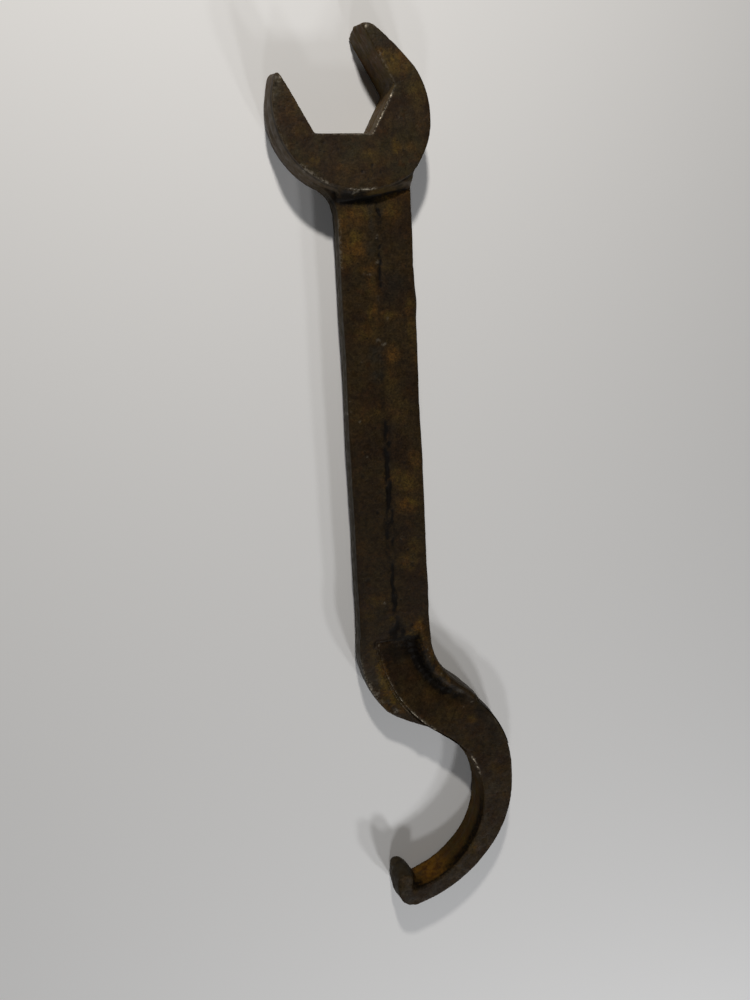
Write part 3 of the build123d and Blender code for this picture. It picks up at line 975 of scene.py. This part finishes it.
def rusty_steel(name, tone, olive, grain, wall, gloss):
    """Rusted forging scale with rust bloom, grime with painted shade, bluish patches, and worn metal with
    painted highlights.
    """
    material = bpy.data.materials.new(name)
    material.use_nodes = True
    nodes = Nodes(material, tone)
    speckle = nodes.noise(1.1, roughness=0.65)
    on_face = nodes.math("SUBTRACT", 1.0, nodes.times(nodes.layer("side"), SIDE_CALM))
    bloom = nodes.times(nodes.layer("orange"), nodes.spread(speckle, 0.25, 0.70, 0.55, 1.25), clamp=True)
    bare_wall = nodes.times(nodes.layer("wall"), nodes.spread(nodes.noise(2.6), 0.3, 0.7, 0.25, 0.8))
    grime_and_shade = grime_and_shade_share(nodes, speckle)
    shine = shine_share(nodes)
    colour = rusted(nodes, clouded_brown(nodes, olive), bloom, speckle)
    colour = nodes.blend(bare_wall, colour, (*wall, 1.0))
    colour = mottled(nodes, colour, on_face, grain)
    # Grime, and painted shade in creases, round the bar and on the hook's inner wall
    colour = nodes.blend(nodes.times(grime_and_shade, GRIME_AND_SHADE_COVER), colour, nodes.colour("grime_and_shade"))
    # Worn metal, with painted highlights on edges and glints
    colour = nodes.blend(shine, colour, nodes.colour("worn_metal_and_highlight"))

    shader = nodes.tree.nodes["Principled BSDF"]
    nodes.put(shader.inputs["Base Color"], colour)
    nodes.put(shader.inputs["Roughness"], roughness(nodes, bloom, grime_and_shade, shine))
    nodes.put(shader.inputs["Metallic"], nodes.times(shine, METAL_SHARE))
    nodes.put(shader.inputs["Normal"], grainy_normal(nodes, on_face))
    shader.inputs["Specular IOR Level"].default_value = gloss
    return material


for name, piece in pieces.items():
    piece.data.materials.append(rusty_steel(SLOTS[name], *STEELS[SLOTS[name]]))


# ---------------------------------------------------------------- floor, lights and camera

# Half the length of the floor's sides, in metres
FLOOR_REACH = 1.6
PAPER = (0.87, 0.865, 0.855, 1)
PAPER_ROUGHNESS = 0.9
SPANNER_CENTRE = (10.0, -130.0, 0.0)
WARM_WHITE = (1.0, 0.965, 0.92)
COOL_WHITE = (0.97, 0.98, 1.0)
# Lamps, all facing the spanner's centre: place, size, power in watts, colour
LAMPS = {
    "near_lamp": ((-60.0, 260.0, 330.0), 30.0, 1.32, WARM_WHITE),
    "low_lamp": ((173.0, -764.0, 400.0), 60.0, 1.15, COOL_WHITE),
    "low_right_lamp": ((325.0, -748.0, 400.0), 60.0, 0.90, COOL_WHITE),
    "low_left_lamp": ((-107.0, -568.0, 400.0), 60.0, 0.40, COOL_WHITE),
}
SKY = (0.95, 0.97, 1.0, 1)
SKY_STRENGTH = 0.03
CAMERA_PLACE = Vector((-70.2, -62.3, 279.7))
CAMERA_AIM = Vector((8.0, -129.6, 0.0))
CAMERA_ROLL = math.radians(3.04)
SENSOR_WIDTH = 36.0
CAMERA_LENS = 0.860 * SENSOR_WIDTH


def make_floor():
    """Large pale sheet that the spanner lies on."""
    reach = FLOOR_REACH
    corners = [(-reach, -reach, 0), (reach, -reach, 0), (reach, reach, 0), (-reach, reach, 0)]
    mesh = bpy.data.meshes.new("floor")
    mesh.from_pydata(corners, [], [(0, 1, 2, 3)])
    floor = bpy.data.objects.new("floor", mesh)
    bpy.context.scene.collection.objects.link(floor)
    material = bpy.data.materials.new("paper")
    material.use_nodes = True
    shader = material.node_tree.nodes["Principled BSDF"]
    shader.inputs["Base Color"].default_value = PAPER
    shader.inputs["Roughness"].default_value = PAPER_ROUGHNESS
    mesh.materials.append(material)


def make_lamp(name, place, size, power, colour):
    """Square area light at a place, facing the spanner's centre."""
    data = bpy.data.lights.new(name, "AREA")
    data.shape = "SQUARE"
    data.size = size * MM
    data.energy = power
    data.color = colour
    lamp = bpy.data.objects.new(name, data)
    lamp.location = Vector(place) * MM
    lamp.rotation_euler = (Vector(SPANNER_CENTRE) - Vector(place)).to_track_quat("-Z", "Y").to_euler()
    bpy.context.scene.collection.objects.link(lamp)


def make_sky():
    """Faint even light from all sides."""
    world = bpy.data.worlds.new("studio")
    world.use_nodes = True
    background = world.node_tree.nodes["Background"]
    background.inputs["Color"].default_value = SKY
    background.inputs["Strength"].default_value = SKY_STRENGTH
    bpy.context.scene.world = world


def make_camera():
    """Camera above and to the left of the spanner, held almost straight down."""
    data = bpy.data.cameras.new("camera")
    data.sensor_width = SENSOR_WIDTH
    data.lens = CAMERA_LENS
    camera = bpy.data.objects.new("camera", data)
    forward = (CAMERA_AIM - CAMERA_PLACE).normalized()
    right = Vector((0, 1, 0)).cross(-forward).normalized()
    above = (-forward).cross(right)
    turned_right = right * math.cos(CAMERA_ROLL) - above * math.sin(CAMERA_ROLL)
    turned_up = right * math.sin(CAMERA_ROLL) + above * math.cos(CAMERA_ROLL)
    rotation = Matrix((turned_right, turned_up, -forward)).transposed()
    camera.matrix_world = Matrix.Translation(CAMERA_PLACE * MM) @ rotation.to_4x4()
    bpy.context.scene.collection.objects.link(camera)
    bpy.context.scene.camera = camera


make_floor()
for name, lamp in LAMPS.items():
    make_lamp(name, *lamp)
make_sky()
make_camera()
bpy.context.scene.view_settings.view_transform = "Standard"
